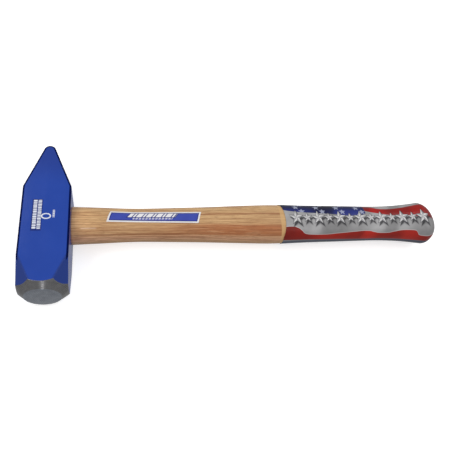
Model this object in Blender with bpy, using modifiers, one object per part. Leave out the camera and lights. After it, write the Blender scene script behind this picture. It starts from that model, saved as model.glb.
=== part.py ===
"""Cross peen hammer with a 3 lb head on a hickory handle, lying on one cheek.

Frame, in metres: the origin is on the lower cheek's plane, straight under the point
where the head's axis crosses the handle's axis. +X runs along the handle to the butt,
+Y along the head to the peen, and +Z up, out of the upper cheek.
"""
import math

import bmesh
import bpy
from mathutils import Vector

OBJECT_NAME = "cross_peen_hammer"
GAP = 0.0003                  # clearance kept between pieces that touch

# Head, forged from square bar
STOCK = 0.0397                # side of the bar, 1 9/16 in
HALF = STOCK / 2
PEEN_TIP_Y = 0.0744           # nose of the peen
PEEN_SHOULDER_Y = 0.0290      # where the peen starts to taper
PEEN_NOSE_RADIUS = 0.0051
FACE_Y = -0.0679              # striking face
FACE_FLAT_RADIUS = 0.0090     # flat middle of the face, inside its slight crown
FACE_RADIUS = 0.0144          # outer edge of the crown, where the chamfer starts
FACE_CROWN = 0.0003           # how far the crown falls away by that edge
CHAMFER_DEPTH = 0.0051        # length of the turned chamfer on the middle of a cheek
FACET_START_Y = -0.0370       # where the poll's four corner facets begin
FACET_END_Y = -0.0620         # where their width is measured
POLL_FLAT = 0.0176            # width of cheek left between two facets there
EDGE_RADIUS = 0.0009          # forging radius on the long edges

# Eye, an oval hourglass through the head along X
EYE_HALF_Y = 0.0143
EYE_HALF_Z = 0.0095
EYE_POWER = 2.4               # superellipse power of the oval
EYE_WAIST_X = 0.0030
EYE_FLARE_TOP = 0.0011        # extra half width at the wedged end
EYE_FLARE_BOTTOM = 0.0005     # and at the handle end
EYE_RINGS = 6

# Handle: half widths along Y of the bare wood at stations along X
TENON_END_X = -0.0195
SHOULDER_X = HALF + GAP
WOOD_STATIONS = (
    (0.0200, 0.0177), (0.0450, 0.0168), (0.0750, 0.0158), (0.1050, 0.0163),
    (0.1400, 0.0172), (0.1750, 0.0185), (0.2050, 0.0192), (0.2350, 0.0183),
    (0.2600, 0.0179), (0.2850, 0.0175), (0.3100, 0.0172), (0.3350, 0.0184),
    (0.3578, 0.0211),
)
SHOULDER_ROUND = 0.0010
BUTT_DEPTH = 0.0151           # length of the domed butt, past the last station
BUTT_POWER = 1.92
THICKNESS_RATIO = 0.73        # thickness along Z against width along Y
HANDLE_POWER = 2.25
NECK_RINGS = 17
GRIP_RINGS = 14
BUTT_RINGS = 6
SIDES = 32

# Printed film sleeve over the grip and the butt
SLEEVE_START_X = 0.2115
SLEEVE_THICKNESS = 0.0004

# Maker's label, a slanted film patch on the upper side of the neck
LABEL_START_X = 0.0501
LABEL_END_X = 0.1314
LABEL_SLANT = 0.0036          # how much further along X the edge on the peen's side lies
LABEL_ANGLES = (math.radians(64), math.radians(104))   # around X, from +Y towards +Z
LABEL_DRIFT = math.radians(6.5)                        # that the far end turns further round
LABEL_THICKNESS = 0.0002
LABEL_COLUMNS = 14
LABEL_ROWS = 5

# Wedges, driven from the end of the tenon
WOOD_WEDGE_HALF_WIDTH = 0.0138
WOOD_WEDGE_THICKNESS = 0.0032
WOOD_WEDGE_DEPTH = 0.0280
STEEL_WEDGE_HALF_WIDTH = 0.0062
STEEL_WEDGE_THICKNESS = 0.0022
STEEL_WEDGE_DEPTH = 0.0160
STEEL_WEDGE_OFFSET_Y = 0.0066
STEEL_WEDGE_TURN = math.radians(62)   # from the wood wedge's plane, so that it crosses it
WEDGE_TIP_THICKNESS = 0.0005
CUTTER_OVERRUN = 0.0020

HEAD_CENTRE = Vector((0.0, 0.0, HALF))


def clear_scene():
    for item in list(bpy.data.objects):
        bpy.data.objects.remove(item, do_unlink=True)


def new_collection(name):
    collection = bpy.data.collections.new(name)
    bpy.context.scene.collection.children.link(collection)
    return collection


def material(name, colour, roughness, metallic):
    made = bpy.data.materials.new(name)
    made.use_nodes = True
    shader = made.node_tree.nodes["Principled BSDF"]
    shader.inputs["Base Color"].default_value = (*colour, 1.0)
    shader.inputs["Roughness"].default_value = roughness
    shader.inputs["Metallic"].default_value = metallic
    return made


def object_from_bmesh(name, shape, collection, look=None, smooth_below=None):
    """Turns a bmesh into a named object, optionally shaded smooth below an angle."""
    mesh = bpy.data.meshes.new(name)
    shape.to_mesh(mesh)
    shape.free()
    if look:
        mesh.materials.append(look)
    if smooth_below:
        mesh.shade_smooth()
        mesh.set_sharp_from_angle(angle=smooth_below)
    made = bpy.data.objects.new(name, mesh)
    collection.objects.link(made)
    return made


def as_cutter(item):
    item.hide_render = True
    item.display_type = "WIRE"
    return item


def boolean(target, cutter, operation):
    step = target.modifiers.new(f"{operation.lower()} {cutter.name}", "BOOLEAN")
    step.operation = operation
    step.solver = "EXACT"
    step.object = cutter


def oval_ring(x, half_y, half_z, power):
    """Points of a superellipse in the plane at x, around the handle's axis."""
    points = []
    for index in range(SIDES):
        angle = 2 * math.pi * index / SIDES
        points.append(oval_point(x, half_y, half_z, power, angle))
    return points


def oval_point(x, half_y, half_z, power, angle):
    across = math.copysign(abs(math.cos(angle)) ** (2 / power), math.cos(angle))
    upward = math.copysign(abs(math.sin(angle)) ** (2 / power), math.sin(angle))
    return HEAD_CENTRE + Vector((x, half_y * across, half_z * upward))


def loft(rings, cap_start=True, cap_end=True):
    """A skin over rings with equal point counts, each further along X than the last."""
    shape = bmesh.new()
    rows = [[shape.verts.new(point) for point in ring] for ring in rings]
    for row, following in zip(rows, rows[1:]):
        count = len(row)
        for index in range(count):
            beside = (index + 1) % count
            shape.faces.new((row[index], row[beside], following[beside], following[index]))
    if cap_start:
        shape.faces.new(reversed(rows[0]))
    if cap_end:
        shape.faces.new(rows[-1])
    return shape


def between(start, end, count):
    """Evenly spaced values from start to end, both included."""
    return [start + (end - start) * index / (count - 1) for index in range(count)]


def smooth_through(stations, x):
    """A cubic through (x, value) stations, with slopes taken from their neighbours."""
    last = len(stations) - 1
    slopes = []
    for index in range(last + 1):
        before = stations[max(index - 1, 0)]
        after = stations[min(index + 1, last)]
        slopes.append((after[1] - before[1]) / (after[0] - before[0]))
    span = 0
    while span < last - 1 and x > stations[span + 1][0]:
        span += 1
    (x0, value0), (x1, value1) = stations[span], stations[span + 1]
    width = x1 - x0
    t = min(max((x - x0) / width, 0.0), 1.0)
    return ((2 * t**3 - 3 * t**2 + 1) * value0 + (t**3 - 2 * t**2 + t) * width * slopes[span]
            + (3 * t**2 - 2 * t**3) * value1 + (t**3 - t**2) * width * slopes[span + 1])


def handle_halves(x, outset=0.0):
    """Half width and half thickness of the wood at x, grown by outset."""
    dome_start, dome_half = WOOD_STATIONS[-1]
    if x <= dome_start:
        half = smooth_through(WOOD_STATIONS, x)
        return half + outset, half * THICKNESS_RATIO + outset
    along = min((x - dome_start) / (BUTT_DEPTH + outset), 1.0)
    fall = (1 - along**BUTT_POWER) ** (1 / BUTT_POWER)
    return (dome_half + outset) * fall, (dome_half * THICKNESS_RATIO + outset) * fall


def handle_ring(x, outset=0.0):
    half_y, half_z = handle_halves(x, outset)
    return oval_ring(x, half_y, half_z, HANDLE_POWER)


def grip_rings(outset=0.0):
    """Rings from the sleeve's edge over the grip and the domed butt."""
    dome_start = WOOD_STATIONS[-1][0]
    rings = [handle_ring(x, outset) for x in between(SLEEVE_START_X, dome_start, GRIP_RINGS)]
    for index in range(1, BUTT_RINGS + 1):
        along = math.sin(0.97 * math.pi / 2 * index / BUTT_RINGS)
        rings.append(handle_ring(dome_start + along * (BUTT_DEPTH + outset), outset))
    return rings


def eye_ring(x, inset=0.0, place_x=None):
    """The eye's oval at x, drawn in by inset."""
    if x < EYE_WAIST_X:
        reach = (EYE_WAIST_X - x) / (EYE_WAIST_X + HALF)
        flare = EYE_FLARE_TOP * reach**2
    else:
        reach = (x - EYE_WAIST_X) / (HALF - EYE_WAIST_X)
        flare = EYE_FLARE_BOTTOM * reach**2
    place = x if place_x is None else place_x
    return oval_ring(place, EYE_HALF_Y + flare - inset, EYE_HALF_Z + flare - inset, EYE_POWER)


def peen_outline():
    """Outline of the head in plan, from its face end round the peen's nose."""
    nose_centre_y = PEEN_TIP_Y - PEEN_NOSE_RADIUS
    run = PEEN_SHOULDER_Y - nose_centre_y
    tangent = math.atan2(run, HALF) + math.acos(PEEN_NOSE_RADIUS / math.hypot(run, HALF))
    points = [(HALF, FACE_Y - CUTTER_OVERRUN), (HALF, PEEN_SHOULDER_Y)]
    for angle in between(tangent, math.pi - tangent, 13):
        points.append((PEEN_NOSE_RADIUS * math.cos(angle),
                       nose_centre_y + PEEN_NOSE_RADIUS * math.sin(angle)))
    points += [(-HALF, PEEN_SHOULDER_Y), (-HALF, FACE_Y - CUTTER_OVERRUN)]
    return points


def make_head_blank(collection, look):
    """The bar and its peen, as an extruded outline with eased long edges."""
    outline = bpy.data.curves.new("head_outline", "CURVE")
    outline.dimensions = "2D"
    outline.fill_mode = "BOTH"
    outline.extrude = HALF
    points = peen_outline()
    spline = outline.splines.new("POLY")
    spline.points.add(len(points) - 1)
    for point, (x, y) in zip(spline.points, points):
        point.co = (x, y, 0.0, 1.0)
    spline.use_cyclic_u = True
    guide = bpy.data.objects.new("head_outline", outline)
    guide.location = HEAD_CENTRE
    collection.objects.link(guide)
    bpy.context.view_layer.update()

    solid = bpy.data.meshes.new_from_object(guide.evaluated_get(bpy.context.evaluated_depsgraph_get()))
    shape = bmesh.new()
    shape.from_mesh(solid)
    bmesh.ops.remove_doubles(shape, verts=shape.verts, dist=0.00001)
    bmesh.ops.recalc_face_normals(shape, faces=shape.faces)
    head = object_from_bmesh("head", shape, collection, look, math.radians(30))
    head.matrix_world = guide.matrix_world
    bpy.data.objects.remove(guide, do_unlink=True)

    easing = head.modifiers.new("forging radius", "BEVEL")
    easing.width = EDGE_RADIUS
    easing.segments = 3
    easing.limit_method = "ANGLE"
    easing.angle_limit = math.radians(50)
    return head


def make_face_former(collection):
    """Turned solid that the head is trimmed to: crowned face, cone chamfer, wide body."""
    slope = (HALF - FACE_RADIUS) / (CHAMFER_DEPTH - FACE_CROWN)
    wide = 3 * HALF
    face = -FACE_Y
    rim = face - FACE_CROWN
    profile = [(0.0, face)]
    for index in range(4):
        reach = index / 3
        radius = FACE_FLAT_RADIUS + (FACE_RADIUS - FACE_FLAT_RADIUS) * reach
        profile.append((radius, face - FACE_CROWN * reach**2))
    profile += [(wide, rim - (wide - FACE_RADIUS) / slope), (wide, -2 * PEEN_TIP_Y),
                (0.0, -2 * PEEN_TIP_Y)]

    shape = bmesh.new()
    corners = [shape.verts.new((radius, 0.0, height)) for radius, height in profile]
    for start, end in zip(corners, corners[1:]):
        shape.edges.new((start, end))
    former = as_cutter(object_from_bmesh("face_former", shape, collection))
    former.location = HEAD_CENTRE
    former.rotation_euler = (math.pi / 2, 0.0, 0.0)
    turned = former.modifiers.new("turned", "SCREW")
    turned.axis = "Z"
    turned.steps = 64
    turned.render_steps = 64
    turned.use_merge_vertices = True
    turned.merge_threshold = 0.00001
    return former


def make_facet_cutter(collection, side_x, side_z):
    """Block whose one face is the plane of a corner facet on the poll."""
    half_flat = POLL_FLAT / 2
    start = Vector((side_x * HALF, FACET_START_Y, side_z * HALF))
    on_side = Vector((side_x * HALF, FACET_END_Y, side_z * half_flat))
    on_cheek = Vector((side_x * half_flat, FACET_END_Y, side_z * HALF))
    normal = (on_side - start).cross(on_cheek - start).normalized()
    if normal.dot(start) < 0:
        normal.negate()
    size = 2 * STOCK
    middle = (on_side + on_cheek) / 2 + normal * size / 2
    shape = bmesh.new()
    bmesh.ops.create_cube(shape, size=size)
    block = as_cutter(object_from_bmesh(f"facet_cutter_{side_x}_{side_z}", shape, collection))
    block.location = HEAD_CENTRE + middle
    block.rotation_euler = normal.to_track_quat("Z", "Y").to_euler()
    return block


def make_eye_cutter(collection):
    inside = between(-HALF, HALF, EYE_RINGS)
    rings = [eye_ring(-HALF, place_x=-HALF - CUTTER_OVERRUN)]
    rings += [eye_ring(x) for x in inside]
    rings.append(eye_ring(HALF, place_x=HALF + CUTTER_OVERRUN))
    return as_cutter(object_from_bmesh("eye_cutter", loft(rings), collection))


def make_head(parts, cutters, look):
    head = make_head_blank(parts, look)
    for side_x in (-1, 1):
        for side_z in (-1, 1):
            boolean(head, make_facet_cutter(cutters, side_x, side_z), "DIFFERENCE")
    boolean(head, make_face_former(cutters), "INTERSECT")
    boolean(head, make_eye_cutter(cutters), "DIFFERENCE")
    return head


def make_wedge(name, collection, half_width, thickness, depth, place, turn, grow=0.0, look=None):
    """A wedge pointing along +X from the tenon's end; grow makes the slot that clears it."""
    shape = bmesh.new()
    bmesh.ops.create_cube(shape, size=1.0)
    taper = (thickness - WEDGE_TIP_THICKNESS) / depth
    start = -CUTTER_OVERRUN if grow else 0.0
    end = depth + grow
    for vert in shape.verts:
        x = end if vert.co.x > 0 else start
        half_thickness = (thickness - taper * x) / 2 + grow
        vert.co = Vector((x, math.copysign(half_width + grow, vert.co.y),
                          math.copysign(half_thickness, vert.co.z)))
    wedge = object_from_bmesh(name, shape, collection, look)
    wedge.location = HEAD_CENTRE + place
    wedge.rotation_euler = (turn, 0.0, 0.0)
    return wedge


def make_wedges(parts, cutters, handle, wood, steel):
    """One wood wedge in the long kerf and two steel wedges across it."""
    kerf_place = Vector((TENON_END_X, 0.0, 0.0))
    sizes = (WOOD_WEDGE_HALF_WIDTH, WOOD_WEDGE_THICKNESS, WOOD_WEDGE_DEPTH)
    wood_wedge = make_wedge("wood_wedge", parts, *sizes, kerf_place, 0.0, look=wood)
    kerf_sizes = (EYE_HALF_Y + EYE_FLARE_TOP, WOOD_WEDGE_THICKNESS, WOOD_WEDGE_DEPTH)
    kerf = make_wedge("kerf_cutter", cutters, *kerf_sizes, kerf_place, 0.0, grow=GAP)
    boolean(handle, as_cutter(kerf), "DIFFERENCE")

    sizes = (STEEL_WEDGE_HALF_WIDTH, STEEL_WEDGE_THICKNESS, STEEL_WEDGE_DEPTH)
    for side, place_word in ((1, "peen_side"), (-1, "face_side")):
        place = Vector((TENON_END_X, side * STEEL_WEDGE_OFFSET_Y, 0.0))
        make_wedge(f"steel_wedge_{place_word}", parts, *sizes, place, STEEL_WEDGE_TURN, look=steel)
        slot = make_wedge(f"slot_cutter_{place_word}", cutters, *sizes, place,
                          STEEL_WEDGE_TURN, grow=GAP)
        boolean(handle, as_cutter(slot), "DIFFERENCE")
        boolean(wood_wedge, slot, "DIFFERENCE")


def make_handle(parts, look):
    """Hickory handle: tenon in the eye, shoulder, neck, swelling grip and domed butt."""
    rings = [eye_ring(x, GAP) for x in [TENON_END_X] + between(-HALF, HALF, EYE_RINGS)[1:]]
    first_y, first_z = handle_halves(SHOULDER_X)
    rings.append(oval_ring(SHOULDER_X, first_y - SHOULDER_ROUND, first_z - SHOULDER_ROUND,
                           HANDLE_POWER))
    rings += [handle_ring(x) for x in
              between(SHOULDER_X + SHOULDER_ROUND, SLEEVE_START_X, NECK_RINGS)]
    rings += grip_rings()[1:]
    return object_from_bmesh("handle", loft(rings), parts, look, math.radians(40))


def make_sleeve(parts, look):
    """Film drawn over the grip and butt, open towards the neck."""
    shape = loft(grip_rings(GAP + SLEEVE_THICKNESS), cap_start=False)
    sleeve = object_from_bmesh("grip_sleeve", shape, parts, look, math.radians(40))
    wall = sleeve.modifiers.new("film", "SOLIDIFY")
    wall.thickness = SLEEVE_THICKNESS
    wall.offset = -1
    return sleeve


def make_label(parts, look):
    """Slanted film patch that follows the neck's upper side."""
    outset = GAP + LABEL_THICKNESS
    shape = bmesh.new()
    rows = []
    for row, angle in enumerate(between(*LABEL_ANGLES, LABEL_ROWS)):
        slant = LABEL_SLANT * (1 - row / (LABEL_ROWS - 1))
        verts = []
        for column in range(LABEL_COLUMNS):
            along = column / (LABEL_COLUMNS - 1)
            x = LABEL_START_X + slant + along * (LABEL_END_X - LABEL_START_X)
            halves = handle_halves(x, outset)
            point = oval_point(x, *halves, HANDLE_POWER, angle + along * LABEL_DRIFT)
            verts.append(shape.verts.new(point))
        rows.append(verts)
    for row, following in zip(rows, rows[1:]):
        for index in range(LABEL_COLUMNS - 1):
            shape.faces.new((row[index], following[index], following[index + 1], row[index + 1]))
    label = object_from_bmesh("handle_label", shape, parts, look, math.radians(40))
    film = label.modifiers.new("film", "SOLIDIFY")
    film.thickness = LABEL_THICKNESS
    film.offset = -1
    return label


def main():
    clear_scene()
    parts = new_collection(OBJECT_NAME)
    cutters = new_collection("cutters")
    enamel = material("blue_enamel", (0.026, 0.064, 0.33), 0.32, 0.0)
    hickory = material("lacquered_hickory", (0.50, 0.29, 0.14), 0.40, 0.0)
    wedge_wood = material("wedge_hardwood", (0.42, 0.24, 0.11), 0.60, 0.0)
    wedge_steel = material("wedge_steel", (0.36, 0.36, 0.37), 0.45, 1.0)
    print_film = material("printed_film", (0.30, 0.06, 0.07), 0.30, 0.0)
    label_film = material("label_film", (0.05, 0.08, 0.36), 0.30, 0.0)

    make_head(parts, cutters, enamel)
    handle = make_handle(parts, hickory)
    make_wedges(parts, cutters, handle, wedge_wood, wedge_steel)
    make_sleeve(parts, print_film)
    make_label(parts, label_film)


main()
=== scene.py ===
"""Looks of the cross peen hammer: enamelled head, lacquered hickory handle, printed grip film.

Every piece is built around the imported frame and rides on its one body, "root". Metres, in the
frame of the CAD: +X along the handle, +Y to the peen, +Z up out of the upper cheek.
"""
import math

import bmesh
import bpy
import numpy as np
from mathutils import Matrix, Vector


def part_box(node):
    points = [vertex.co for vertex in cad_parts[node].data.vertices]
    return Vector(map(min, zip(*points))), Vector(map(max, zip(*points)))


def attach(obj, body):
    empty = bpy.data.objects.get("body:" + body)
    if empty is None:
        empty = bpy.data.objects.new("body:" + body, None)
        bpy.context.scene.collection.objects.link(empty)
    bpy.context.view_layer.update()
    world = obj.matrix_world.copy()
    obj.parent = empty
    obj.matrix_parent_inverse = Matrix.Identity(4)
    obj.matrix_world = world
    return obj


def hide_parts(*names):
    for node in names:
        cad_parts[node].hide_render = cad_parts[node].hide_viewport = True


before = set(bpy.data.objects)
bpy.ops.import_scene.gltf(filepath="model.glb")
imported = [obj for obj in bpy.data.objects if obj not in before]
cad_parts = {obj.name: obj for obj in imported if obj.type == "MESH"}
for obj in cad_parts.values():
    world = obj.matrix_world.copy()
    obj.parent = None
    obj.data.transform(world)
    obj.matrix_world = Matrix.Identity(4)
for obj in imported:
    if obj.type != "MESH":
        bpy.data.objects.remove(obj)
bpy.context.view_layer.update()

MM = 0.001

# ---- sizes read from the frame ----
head_low, head_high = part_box("head")
sleeve_low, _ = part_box("grip_sleeve")
HALF = head_high.z / 2  # half of the head's square bar, and the axes' height
FACE_Y = head_low.y
PEEN_TIP_Y = head_high.y
SLEEVE_START_X = sleeve_low.x
AXIS = Vector((0.0, 0.0, HALF))

# ---- head details, the same as in the CAD ----
PEEN_SHOULDER_Y = 0.0290
PEEN_NOSE_RADIUS = 0.0051
FACE_FLAT_RADIUS = 0.0090
FACE_RADIUS = 0.0144
FACE_CROWN = 0.0003
CHAMFER_DEPTH = 0.0051
CONE_SLOPE = (HALF - FACE_RADIUS) / (CHAMFER_DEPTH - FACE_CROWN)  # radius gained per metre of y
FACET_START_Y = -0.0370
FACET_END_Y = -0.0620
POLL_FLAT = 0.0176
EYE_HALF_Y = 0.0143
EYE_HALF_Z = 0.0095
EYE_POWER = 2.4
EYE_WAIST_X = 0.0030
EYE_FLARE_TOP = 0.0011
EYE_FLARE_BOTTOM = 0.0005

# ---- drawn head ----
HEAD_FULLNESS = (1.022, 1.010, 1.0)  # against its CAD solid, in x, y and z
LONG_EDGE_RADIUS = 0.0009
BEVELLED_ABOVE = math.radians(50)  # edges of the blank that get the long round
EDGE_ROUND = 0.0004  # on the facets, the chamfer and the eye's rims
EASED_ABOVE = math.radians(17)  # edges of the finished head that get it
OVERRUN = 0.002  # how far a cutter runs past what it cuts
MERGE_WITHIN = 0.00002  # corners this close after the cuts become one
FLAT_BELOW = math.radians(0.2)  # faces this nearly in line become one
MARK_LOW = 2 * HALF - 0.00002  # heights of the paint of the cheek marks
MARK_HIGH = 2 * HALF + 0.00004
MARKED_X_MM = (-10.7, -2.5)  # deeper blue round the two long rows of marks
MARKED_Y_MM = (-16.9, 14.6)
FAR_MM = 1000.0  # further than anything on the head

# ---- handle, film and wedges ----
THICKNESS_RATIO = 0.73
HANDLE_POWER = 2.25
BUTT_POWER = 1.92
BUTT_DEPTH = 0.0151
SIDES = 128
ROUND_BELOW = math.radians(40)  # edges of the handle and the film that look round
DOME_SHARE = 0.985  # how much of the butt's quarter turn has rings
TENON_END_X = -0.0195
SHOULDER_ROUND = 0.0012
TIGHT = 0.00006  # the gap drawn between pieces that touch
FILM = 0.00040
FILM_EDGE_REACH = 0.0022  # how far the film's edge bows towards the butt on top
FILM_EDGE_MIDDLE = math.radians(98)
FILM_EDGE_RATE = 1.45
FILM_EDGE_BLEND = 0.015
CLEAR_STRIP_MM = 2.5  # lacquer ring left pale just before the film
AROUND_MM = 0.30  # millimetres of film to a degree, near the top
FIELD_END_MM = (296.2, 296.8)  # where the print's blue field gives way to red
LABEL_START_X = 0.0501
LABEL_END_X = 0.1314
LABEL_SLANT = 0.0036
LABEL_ANGLES = (math.radians(64.5), math.radians(100.5))
LABEL_DRIFT = math.radians(6.5)
LABEL_FILM = 0.00012
WOOD_WEDGE_THICKNESS = 0.0032
WOOD_WEDGE_DEPTH = 0.0280
WOOD_WEDGE_HALVES = (0.0152, 0.0138)  # half width at the tenon's end and at the tip
STEEL_WEDGE_SIZE = (0.0062, 0.0022, 0.0160)  # half width, thickness, depth
STEEL_WEDGE_OFFSET_Y = 0.0066
STEEL_WEDGE_TURN = math.radians(62)
WEDGE_TIP = 0.0005
WEDGE_EASE = 0.0002  # rounding of a wedge's edges
STEEL_PROUD = 0.0002  # how far the steel wedges stand out of the tenon

# ---- camera ----
CAMERA_PLACE = AXIS + Vector((0.0589, -0.2588, 0.4072))
CAMERA_TURN_DEGREES = (33.00, -9.58, -6.71)
CAMERA_LENS_MM = 42.04

# ---- light ----
WORLD_STRENGTH = 0.42  # on the hammer
BACKDROP = 1.0  # seen behind the floor
FLOOR_GLOW = 0.60
FLOOR_HALF = 1.6
FLOOR_MIDDLE = (0.15, 0.0, 0.0)
LIGHTS = (  # name, place, aim, size and watts
    ("left softbox", (-1.15, 0.05, 1.50), (0.17, 0.0, 0.0), (2.8, 1.2), 20.6),
    ("right softbox", (1.60, 0.05, 1.50), (0.17, 0.0, 0.0), (2.8, 1.2), 20.6),
    ("glint strip", (-0.02, -0.82, 0.30), (0.0, -0.06, 0.03), (0.014, 0.20), 0.15),
)


# ---- mesh helpers ----
def between(start, end, count):
    return [start + (end - start) * index / (count - 1) for index in range(count)]


def add_object(name, data):
    made = bpy.data.objects.new(name, data)
    bpy.context.scene.collection.objects.link(made)
    return made


def object_from_bmesh(name, shape, look=None, smooth_below=math.radians(30)):
    mesh = bpy.data.meshes.new(name)
    shape.to_mesh(mesh)
    shape.free()
    mesh.shade_smooth()
    mesh.set_sharp_from_angle(angle=smooth_below)
    if look:
        mesh.materials.append(look)
    return add_object(name, mesh)


def apply_modifiers(item):
    """Bakes an object's modifiers into its own mesh."""
    bpy.context.view_layer.update()
    graph = bpy.context.evaluated_depsgraph_get()
    mesh = bpy.data.meshes.new_from_object(item.evaluated_get(graph))
    item.modifiers.clear()
    item.data = mesh


def boolean(target, cutter, operation):
    step = target.modifiers.new(operation, "BOOLEAN")
    step.operation = operation
    step.solver = "EXACT"
    step.object = cutter
    apply_modifiers(target)
    bpy.data.objects.remove(cutter, do_unlink=True)


def thicken(item, thickness):
    """Gives a skin a second wall on its inside."""
    wall = item.modifiers.new("film", "SOLIDIFY")
    wall.thickness = thickness
    wall.offset = -1
    apply_modifiers(item)


def superellipse(x, half_y, half_z, power, angle):
    across = math.copysign(abs(math.cos(angle)) ** (2 / power), math.cos(angle))
    upward = math.copysign(abs(math.sin(angle)) ** (2 / power), math.sin(angle))
    return AXIS + Vector((x, half_y * across, half_z * upward))


def oval_ring(x, half_y, half_z, power, sides=SIDES):
    return [superellipse(x, half_y, half_z, power, 2 * math.pi * index / sides)
            for index in range(sides)]


def skin(shape, rows):
    """Quads between each closed row of vertices and the next."""
    for row, following in zip(rows, rows[1:]):
        for index in range(len(row)):
            beside = (index + 1) % len(row)
            shape.faces.new((row[index], row[beside], following[beside], following[index]))


def loft(rings, cap_start=True):
    """A skin over rings of points, closed at its far end and, if asked, at its start."""
    shape = bmesh.new()
    rows = [[shape.verts.new(point) for point in ring] for ring in rings]
    skin(shape, rows)
    if cap_start:
        shape.faces.new(reversed(rows[0]))
    shape.faces.new(rows[-1])
    return shape


# ---- handle profile ----
def cad_wood_stations():
    """(x, half width) of each ring of the CAD handle outside the head."""
    rings = {}
    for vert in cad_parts["handle"].data.vertices:
        if vert.co.x > HALF + SHOULDER_ROUND:
            place = round(vert.co.x, 5)
            rings[place] = max(rings.get(place, 0.0), abs(vert.co.y))
    return sorted(rings.items())


WOOD = cad_wood_stations()
DOME_START_X, DOME_HALF = max(WOOD, key=lambda station: station[1])
BODY = [station for station in WOOD if station[0] <= DOME_START_X]
BODY_X = np.array([station[0] for station in BODY])
BODY_HALF = np.array([station[1] for station in BODY])
BODY_SLOPE = np.gradient(BODY_HALF, BODY_X)


def half_width(x):
    """Half width of the wood, a cubic through the CAD's rings."""
    x = min(max(x, BODY_X[0]), BODY_X[-1])
    span = int(np.clip(np.searchsorted(BODY_X, x) - 1, 0, len(BODY_X) - 2))
    width = BODY_X[span + 1] - BODY_X[span]
    t = (x - BODY_X[span]) / width
    return float((2 * t**3 - 3 * t**2 + 1) * BODY_HALF[span]
                 + (t**3 - 2 * t**2 + t) * width * BODY_SLOPE[span]
                 + (3 * t**2 - 2 * t**3) * BODY_HALF[span + 1]
                 + (t**3 - t**2) * width * BODY_SLOPE[span + 1])


def handle_halves(x, outset=0.0):
    """Half width and half height of the handle, whose butt is a dome."""
    if x <= DOME_START_X:
        half = half_width(x)
        return half + outset, half * THICKNESS_RATIO + outset
    along = min((x - DOME_START_X) / (BUTT_DEPTH + outset), 1.0)
    fall = (1 - along**BUTT_POWER) ** (1 / BUTT_POWER)
    return (DOME_HALF + outset) * fall, (DOME_HALF * THICKNESS_RATIO + outset) * fall


def handle_ring(x, outset=0.0):
    return oval_ring(x, *handle_halves(x, outset), HANDLE_POWER)


def dome_rings(outset, count=22):
    reach = BUTT_DEPTH + outset
    turns = [DOME_SHARE * math.pi / 2 * index / count for index in range(1, count + 1)]
    return [handle_ring(DOME_START_X + reach * math.sin(turn), outset) for turn in turns]


def eye_halves(x, inset=0.0):
    """Half width and half height of the eye, which flares from its waist towards both ends."""
    if x < EYE_WAIST_X:
        flare = EYE_FLARE_TOP * ((EYE_WAIST_X - x) / (EYE_WAIST_X + HALF)) ** 2
    else:
        flare = EYE_FLARE_BOTTOM * ((x - EYE_WAIST_X) / (HALF - EYE_WAIST_X)) ** 2
    return EYE_HALF_Y + flare - inset, EYE_HALF_Z + flare - inset


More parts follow.
